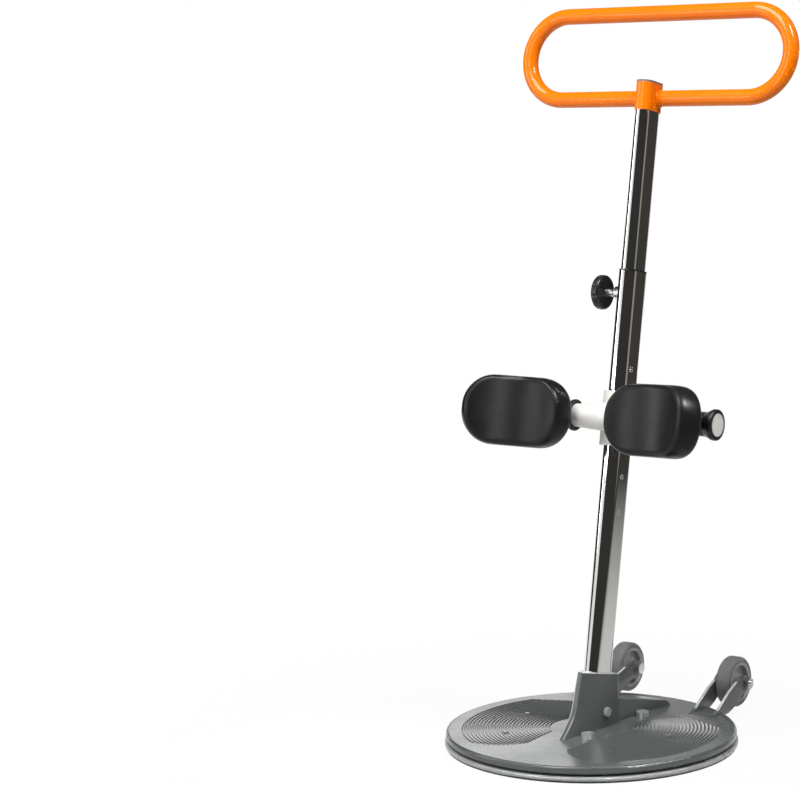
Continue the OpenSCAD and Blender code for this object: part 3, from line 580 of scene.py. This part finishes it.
def makeKneePad(side, node, body, name):
    bm = padBlank(node)
    place = padPlace(side)
    bmesh.ops.transform(bm, matrix=place.inverted(), verts=bm.verts)
    shapePad(bm)
    bmesh.ops.transform(bm, matrix=place, verts=bm.verts)
    facesOut(bm)
    pad = addPiece(name, bm, "padSkin", body)
    fine = pad.modifiers.new("rounding", "SUBSURF")
    fine.levels = fine.render_levels = 1
    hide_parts(node)


makeKneePad(-1, "left_pad", "left_knee", "leftKneePad")
makeKneePad(1, "right_pad", "right_knee", "rightKneePad")
print("knee pads made")

# cast socket with its fin, flange and spine
socket = {
    "plate": 0.024, "top": 0.109, "back": 0.054, "half": 0.021, "finHalf": 0.005, "reach": 0.085,
    "shoulder": 0.002, "height": 0.097, "sink": 0.0015, "levels": 22, "near": 1e-6,
    "noseZ": (0, 0.13, 0.31, 0.53, 0.76, 1), "noseY": (1, 0.81, 0.61, 0.5, 0.41, 0.31),
    "noseRound": ((0.0022, 0), (0.0007, 0.0006)), "noseDeep": 0.002,
    "bendFrom": 0.6, "bendTo": 0.3, "bendSteps": 6, "straight": 0.3,
    "cornerRadius": 0.008, "cornerSteps": 5, "topBevel": 0.0018, "edgeBevel": 0.0022,
    "flangeHalf": 0.046, "flangeFront": -0.07, "flangeBack": 0.114, "flangeRadius": 0.016,
    "flangeDeep": 0.003, "flangeSteps": 8,
    "spineStart": 0.044, "spineKnee": 0.171, "spineEnd": 0.184, "spineHalf": 0.015,
    "spineEndHalf": 0.036, "spineTop": 0.062, "spineLow": 0.034, "spineKeen": 0.001,
    "crease": 38,
}


# front edge of the fin at a share of the height, eased between the given points
def noseAt(share):
    zs, ys = socket["noseZ"], socket["noseY"]
    k = max(i for i in range(len(zs) - 1) if zs[i] <= share or i == 0)
    span = zs[k + 1] - zs[k]
    f = min(1, max(0, (share - zs[k]) / span))

    def slope(i):
        lo, hi = max(0, i - 1), min(len(zs) - 1, i + 1)
        return (ys[hi] - ys[lo]) / (zs[hi] - zs[lo])

    h1, h2 = 2 * f ** 3 - 3 * f ** 2 + 1, f ** 3 - 2 * f ** 2 + f
    h3, h4 = 3 * f ** 2 - 2 * f ** 3, f ** 3 - f ** 2
    ends = h1 * ys[k] + h2 * span * slope(k) + h3 * ys[k + 1] + h4 * span * slope(k + 1)
    return -socket["reach"] * ends


def socketOutline(share):
    nose, half, fin = noseAt(share), socket["half"], socket["finHalf"]
    r, steps = socket["cornerRadius"], socket["cornerSteps"]
    start = Vector((fin, nose + socket["noseDeep"]))
    knee = Vector((half, socket["shoulder"]))
    end = Vector((half, socket["back"] - r))
    first, last = start.lerp(knee, socket["bendFrom"]), knee.lerp(end, socket["bendTo"])
    side = [Vector((fin - x, nose + y)) for x, y in socket["noseRound"]]
    side += [start, start.lerp(knee, socket["straight"])]
    for i in range(socket["bendSteps"] + 1):
        f = i / socket["bendSteps"]
        side.append(first.lerp(knee, f).lerp(knee.lerp(last, f), f))
    for i in range(steps + 1):
        a = math.radians(90 * i / steps)
        side.append(Vector((half - r + r * math.cos(a), socket["back"] - r + r * math.sin(a))))
    return side + [Vector((-p.x, p.y)) for p in reversed(side)]


def addSocketWalls(bm):
    loops = []
    for i in range(socket["levels"] + 1):
        share = i / socket["levels"]
        z = socket["plate"] + socket["height"] * share - (socket["sink"] if i == 0 else 0)
        loops.append([bm.verts.new((p.x, p.y, z)) for p in socketOutline(share)])
    for low, high in zip(loops, loops[1:]):
        # the fin's left front edge takes the second slot, a pale painted highlight
        paintedHighlight = (len(low) - 3, len(low) - 2)              # left front edge of the fin
        for i in range(len(low)):
            j = (i + 1) % len(low)
            wall = bm.faces.new((low[i], low[j], high[j], high[i]))
            wall.material_index = 1 if i in paintedHighlight else 0
    bm.faces.new(list(reversed(loops[0])))
    cutAt = mastLean @ Vector((0, 0, socket["top"]))
    cutUp = mastLean.to_3x3() @ Vector(upAxis)
    cut = cutOff(bm, cutAt, cutUp, socket["near"])["geom_cut"]
    rim = [e for e in cut if isinstance(e, bmesh.types.BMEdge) and e.is_boundary]
    bmesh.ops.contextual_create(bm, geom=rim)
    breakEdges(bm, rim, socket["topBevel"])


def addSocketFlange(bm):
    half, r, steps = socket["flangeHalf"], socket["flangeRadius"], socket["flangeSteps"]
    right, left = half - r, r - half
    rear, front = socket["flangeBack"] - r, socket["flangeFront"] + r
    edge = []
    for cx, cy, a0 in ((right, rear, 0), (left, rear, 90), (left, front, 180), (right, front, 270)):
        for i in range(steps + 1):
            a = math.radians(a0 + 90 * i / steps)
            spot = (cx + r * math.cos(a), cy + r * math.sin(a), socket["plate"])
            edge.append(bm.verts.new(spot))
    slab = bm.faces.new(edge)
    for v in bmesh.ops.extrude_face_region(bm, geom=[slab])["geom"]:
        if isinstance(v, bmesh.types.BMVert):
            v.co.z -= socket["flangeDeep"]


def addSocketSpine(bm):
    s = socket
    spots = [
        (s["spineHalf"], s["spineStart"], s["plate"]),
        (s["spineEndHalf"], s["spineKnee"], s["plate"]),
        (s["spineEndHalf"], s["spineEnd"], s["plate"]),
        (s["spineHalf"], s["spineStart"], s["spineTop"]),
        (s["spineEndHalf"], s["spineKnee"], s["spineLow"]),
    ]
    right = [bm.verts.new(p) for p in spots]
    left = [bm.verts.new((-x, y, z)) for x, y, z in spots]
    made = []
    for pick in ((0, 1, 4, 3), (1, 2, 4)):
        made.append(bm.faces.new([right[i] for i in pick]))
        made.append(bm.faces.new([left[i] for i in reversed(pick)]))
    for a, b in ((3, 4), (4, 2), (2, 1), (1, 0), (0, 3)):
        made.append(bm.faces.new((right[a], right[b], left[b], left[a])))
    floor = s["plate"] + s["spineKeen"]
    keen = {e for f in made for e in f.edges if max(v.co.z for v in e.verts) > floor}
    breakEdges(bm, list(keen), s["edgeBevel"])


def makeSocket():
    bm = bmesh.new()
    addSocketWalls(bm)
    addSocketFlange(bm)
    addSocketSpine(bm)
    facesOut(bm)
    piece = addPiece("castSocket", bm, "baseGrey", "platform")
    # second slot: the pale painted highlight on the fin's front edge
    piece.data.materials.append(materials["paintedHighlightGrey"])
    piece.data.set_sharp_from_angle(angle=math.radians(socket["crease"]))
    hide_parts("mast_socket")


makeSocket()

# forks copied from the solids, with their edges broken and the front faces painted pale as a
# highlight
fork = {
    "width": 0.0015, "keen": 32, "flat": 1, "crease": 34, "clear": 0.002,    # clear of the plate
    "palePast": 0.003, "paleBack": 0.256, "paleFront": -0.25, "paleSide": 0.45,
}


def facesFront(face):
    spot, out = face.calc_center_median(), face.normal
    looks = out.y < fork["paleFront"] and abs(out.x) < fork["paleSide"]
    return looks and spot.z > socket["plate"] + fork["palePast"] and spot.y < fork["paleBack"]


def makeFork(node, name):
    bm = copyOf(node)
    bmesh.ops.dissolve_limit(bm, angle_limit=math.radians(fork["flat"]), verts=bm.verts,
                             edges=bm.edges)
    floor = socket["plate"] + fork["clear"]
    keen = [e for e in bm.edges
            if e.is_manifold and e.calc_face_angle(0) > math.radians(fork["keen"])
            and min(v.co.z for v in e.verts) > floor]
    breakEdges(bm, keen, fork["width"])
    facesOut(bm)
    for face in bm.faces:
        face.normal_update()
        # front faces take the second slot, a pale painted highlight
        face.material_index = 1 if facesFront(face) else 0
    piece = addPiece(name, bm, "baseGrey", "platform")
    piece.data.materials.append(materials["paintedHighlightGrey"])
    piece.data.set_sharp_from_angle(angle=math.radians(fork["crease"]))
    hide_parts(node)


for side in ("left", "right"):
    makeFork(side + "_fork", side + "Fork")
print("socket and forks made")

# thin pale rings painted as highlights: a line along the plate's upper edge, and a bead round each
# wheel's rim
plateRing = {"radius": 0.2213, "height": 0.0223, "bead": 0.0007, "steps": 160}
wheelRing = {"radius": 0.0316, "bead": 0.0009, "steps": 64}


def makeRing(name, ring, place, body):
    bm = bmesh.new()
    spinBead(bm, ring["bead"], (ring["radius"], 0, 0), upAxis, ring["steps"])
    bmesh.ops.transform(bm, matrix=place, verts=bm.verts)
    facesOut(bm)
    addPiece(name, bm, "paintedHighlightGrey", body)


makeRing("plateEdgeRing", plateRing, Matrix.Translation((0, 0, plateRing["height"])),
         "platform")
for side in ("left", "right"):
    low, high = (Vector(corner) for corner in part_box(side + "_hub"))
    for label, x in (("In", low.x), ("Out", high.x)):
        middle = Matrix.Translation((x, (low.y + high.y) / 2, (low.z + high.z) / 2))
        makeRing(side + "WheelBead" + label, wheelRing, middle @ turnBy(90, "Y"),
                 side + "_wheel")
print("rings made")

# weld beads where the handle meets its collar
weld = {
    "bar": (0.012, 1.002), "ring": 0.0127, "bead": 0.0017, "steps": 40,
    "collarHalf": 0.0138, "flat": 0.013, "proud": 0.0004, "ripple": 0.0003, "ripples": 18,
}


def makeWeld(side, name):
    bm = bmesh.new()
    y0, s0 = weld["bar"]
    spinBead(bm, weld["bead"], (0, 0, weld["ring"]), (1, 0, 0), weld["steps"])
    for v in bm.verts:
        over = max(0, v.co.y + y0 - weld["flat"])
        edge = math.sqrt(max(0, weld["collarHalf"] ** 2 - over ** 2)) + weld["proud"]
        ripple = weld["ripple"] * math.sin(weld["ripples"] * math.atan2(v.co.z, v.co.y))
        v.co = Vector((side * (v.co.x + edge + ripple), v.co.y + y0, v.co.z + s0))
    bmesh.ops.transform(bm, matrix=mastLean, verts=bm.verts)
    facesOut(bm)
    addPiece(name, bm, "orangeCoat", "upper_mast")


makeWeld(-1, "leftWeld")
makeWeld(1, "rightWeld")

# plain height numbers on the right flat of the lower tube
marks = {
    "face": 0.0145, "lift": 0.00003, "thick": 0.00002, "size": 0.011, "across": -0.004,
    "near": 1e-6, "heights": ((0.577, "55"), (0.411, "40"), (0.3555, "35")),
}


def makeMark(height, label):
    curve = bpy.data.curves.new("markText", "FONT")
    curve.body = label
    curve.size = marks["size"]
    curve.align_x = "CENTER"
    curve.align_y = "CENTER"
    curve.extrude = marks["thick"]
    text = bpy.data.objects.new("markText", curve)
    scene.collection.objects.link(text)
    bm = takeMesh(text)
    bmesh.ops.remove_doubles(bm, verts=bm.verts, dist=marks["near"])
    stand = Matrix(((0, 0, 1, marks["face"] + marks["lift"]), (1, 0, 0, marks["across"]),
                    (0, 1, 0, height), (0, 0, 0, 1)))
    bmesh.ops.transform(bm, matrix=mastLean @ stand, verts=bm.verts)
    facesOut(bm)
    addPiece("mark" + label, bm, "printGrey", "platform", smooth=False)


for height, label in marks["heights"]:
    makeMark(height, label)
print("welds and marks made")

# studio
wall = ((3.7, 0.0), (3.7, 3.4))    # out and up at the foot and head of a standing flag
studio = {
    "floorHalf": 25, "floorWhite": (0.52, 0.52, 0.52),
    "floorGlow": {"From Min": 0.25, "From Max": 0.9, "To Min": 0.93, "To Max": 1},    # by distance
    "skyForDiffuse": 0.32, "flagSteps": 36,
    "lamps": [
        {"name": "topSoftbox", "at": (-0.3, -1.3, 2.9), "to": (0, 0, 0.5),
         "size": (1.3, 1.4), "power": 80},
        {"name": "frontSoftbox", "at": (0.12, -3.34, 1.75), "to": (0, 0, 0.8),
         "size": (0.5, 2.4), "power": 30, "spares": ("outer_tube", "inner_tube")},
        {"name": "leftSoftbox", "at": (-2.92, -1.55, 1.65), "to": (0, 0, 0.5),
         "size": (0.7, 2.2), "power": 26},
        {"name": "barStrip", "at": (-1.7, -2.83, 1.2), "to": (0, 0.2, 1.1),
         "size": (0.6, 0.3), "power": 7},
        {"name": "backSoftbox", "at": (-2.35, 2.45, 1.15), "to": (0, 0, 0.1),
         "size": (1.3, 1.0), "power": 5.5},
        {"name": "rightSoftbox", "at": (1.75, 0.0, 2.75), "to": (0, 0, 0.4),
         "size": (0.7, 0.7), "power": 40},
        {"name": "padGrid", "at": (1.7, -0.1, 2.85), "to": (0.2, -0.1, 0.49),
         "size": (0.4, 0.4), "power": 1, "grid": 20},
    ],
    "flags": [
        {"name": "rightFlag", "from": -112, "to": 28, "line": wall,
         "tone": (0.034, 0.0335, 0.0315)},
        {"name": "rightStrip", "from": 28, "to": 50, "line": wall, "tone": (0.3, 0.28, 0.25)},
        {"name": "rightBackFlag", "from": 50, "to": 78, "line": wall,
         "tone": (0.05, 0.044, 0.038)},
        {"name": "rightFloorFlag", "from": -65, "to": 86, "line": ((0.3, 0.004), (3.7, 0.004)),
         "tone": (0.042, 0.038, 0.033), "near": (0.6, 0.595, 0.575), "fade": (0.7, 2.5)},
        {"name": "leftFlag", "from": 130, "to": 208, "line": wall, "tone": (0.03, 0.028, 0.026)},
        {"name": "frontCard", "from": 208, "to": 248, "line": wall, "tone": (0.85, 0.845, 0.83)},
        {"name": "backCard", "from": 86, "to": 121, "line": ((3.8, 0.2), (3.8, 1.3)),
         "tone": (0.6, 0.6, 0.6)},
        {"name": "ceilingFlag", "from": 0, "to": 360, "line": ((0.01, 3.6), (3.9, 3.6)),
         "tone": (0.03, 0.03, 0.03)},
        {"name": "backFlag", "from": 60, "to": 204, "line": ((3.8, 1.3), (3.8, 3.6)),
         "tone": (0.05, 0.05, 0.05)},
    ],
}


# one for what is seen straight, mirrored or through a piece, none for bounced light
def seenRays(tree):
    path = addNode(tree, "ShaderNodeLightPath")
    first = addNode(tree, "ShaderNodeMath", operation="MAXIMUM")
    second = addNode(tree, "ShaderNodeMath", operation="MAXIMUM")
    wire(tree, path.outputs["Is Camera Ray"], first.inputs[0])
    wire(tree, path.outputs["Is Glossy Ray"], first.inputs[1])
    wire(tree, first.outputs[0], second.inputs[0])
    wire(tree, path.outputs["Is Transmission Ray"], second.inputs[1])
    return second.outputs[0]


def distanceOut(tree):
    coord = addNode(tree, "ShaderNodeTexCoord")
    span = addNode(tree, "ShaderNodeVectorMath", operation="LENGTH")
    wire(tree, coord.outputs["Object"], span.inputs[0])
    return span.outputs["Value"]


def bareMaterial(name):
    mat = bpy.data.materials.new(name)
    mat.use_nodes = True
    tree = mat.node_tree
    tree.nodes.remove(tree.nodes["Principled BSDF"])
    return mat, tree, tree.nodes["Material Output"].inputs["Surface"]


def setWorld():
    world = bpy.data.worlds.new("paleStudio")
    scene.world = world
    world.use_nodes = True
    tree = world.node_tree
    sky = tree.nodes["Background"]
    sky.inputs["Color"].default_value = (1, 1, 1, 1)
    level = addNode(tree, "ShaderNodeMapRange", {"To Min": studio["skyForDiffuse"], "To Max": 1})
    wire(tree, seenRays(tree), level.inputs["Value"])
    wire(tree, level.outputs["Result"], sky.inputs["Strength"])


def makeFloor():
    bm = bmesh.new()
    bmesh.ops.create_grid(bm, x_segments=1, y_segments=1, size=studio["floorHalf"])
    floor = linkMesh("studioFloor", bm)
    mat, tree, surface = bareMaterial("paleFloor")
    paper = addNode(tree, "ShaderNodeBsdfDiffuse", {"Color": studio["floorWhite"] + (1,)})
    glow = addNode(tree, "ShaderNodeEmission")
    near = addNode(tree, "ShaderNodeMapRange", studio["floorGlow"], interpolation_type="SMOOTHSTEP")
    share = addNode(tree, "ShaderNodeMath", operation="MULTIPLY")
    mix = addNode(tree, "ShaderNodeMixShader")
    wire(tree, distanceOut(tree), near.inputs["Value"])
    wire(tree, seenRays(tree), share.inputs[0])
    wire(tree, near.outputs["Result"], share.inputs[1])
    wire(tree, share.outputs[0], mix.inputs["Fac"])
    wire(tree, paper.outputs[0], mix.inputs[1])
    wire(tree, glow.outputs[0], mix.inputs[2])
    wire(tree, mix.outputs[0], surface)
    floor.data.materials.append(mat)


def hangFlag(flag):
    bm = bmesh.new()
    line, edges = drawLine(bm, [(r, 0, z) for r, z in flag["line"]])
    bmesh.ops.rotate(bm, cent=origin, matrix=turnBy(flag["from"], "Z", 3), verts=line)
    bmesh.ops.spin(bm, geom=line + edges, cent=origin, axis=upAxis,
                   angle=math.radians(flag["to"] - flag["from"]), steps=studio["flagSteps"])
    card = linkMesh(flag["name"], bm)
    mat, tree, surface = bareMaterial(flag["name"])
    cloth = addNode(tree, "ShaderNodeEmission", {"Color": flag["tone"] + (1,)})
    if "fade" in flag:                                     # paler toward the set
        start, end = flag["fade"]
        run = addNode(tree, "ShaderNodeMapRange", {"From Min": start, "From Max": end})
        mix = addNode(tree, "ShaderNodeMix",
                      {"A": flag["near"] + (1,), "B": flag["tone"] + (1,)}, data_type="RGBA")
        wire(tree, distanceOut(tree), run.inputs["Value"])
        wire(tree, run.outputs["Result"], mix.inputs["Factor"])
        wire(tree, mix.outputs["Result"], cloth.inputs["Color"])
    wire(tree, cloth.outputs[0], surface)
    card.data.materials.append(mat)
    card.visible_camera = card.visible_diffuse = False
    card.visible_shadow = card.visible_transmission = False


def hangLamp(lamp):
    data = bpy.data.lights.new(lamp["name"], "AREA")
    data.shape = "RECTANGLE"
    data.size, data.size_y = lamp["size"]
    data.energy = lamp["power"]
    data.spread = math.radians(lamp.get("grid", 180))      # a grid keeps a lamp to one piece
    obj = bpy.data.objects.new(lamp["name"], data)
    aim = (Vector(lamp["to"]) - Vector(lamp["at"])).to_track_quat("-Z", "Y")
    obj.matrix_world = Matrix.Translation(lamp["at"]) @ aim.to_matrix().to_4x4()
    obj.visible_camera = False
    scene.collection.objects.link(obj)
    if "spares" in lamp:
        sparePieces(obj, lamp["spares"])


# pieces that a lamp doesn't light
def sparePieces(lamp, names):
    spared = bpy.data.collections.new(lamp.name + "Spares")
    lamp.light_linking.receiver_collection = spared
    for name in names:
        spared.objects.link(cadNodes[name])
    for entry in spared.collection_objects:
        entry.light_linking.link_state = "EXCLUDE"


setWorld()
makeFloor()
for flag in studio["flags"]:
    hangFlag(flag)
for lamp in studio["lamps"]:
    hangLamp(lamp)
scene.view_settings.view_transform = "Standard"
print("studio set")
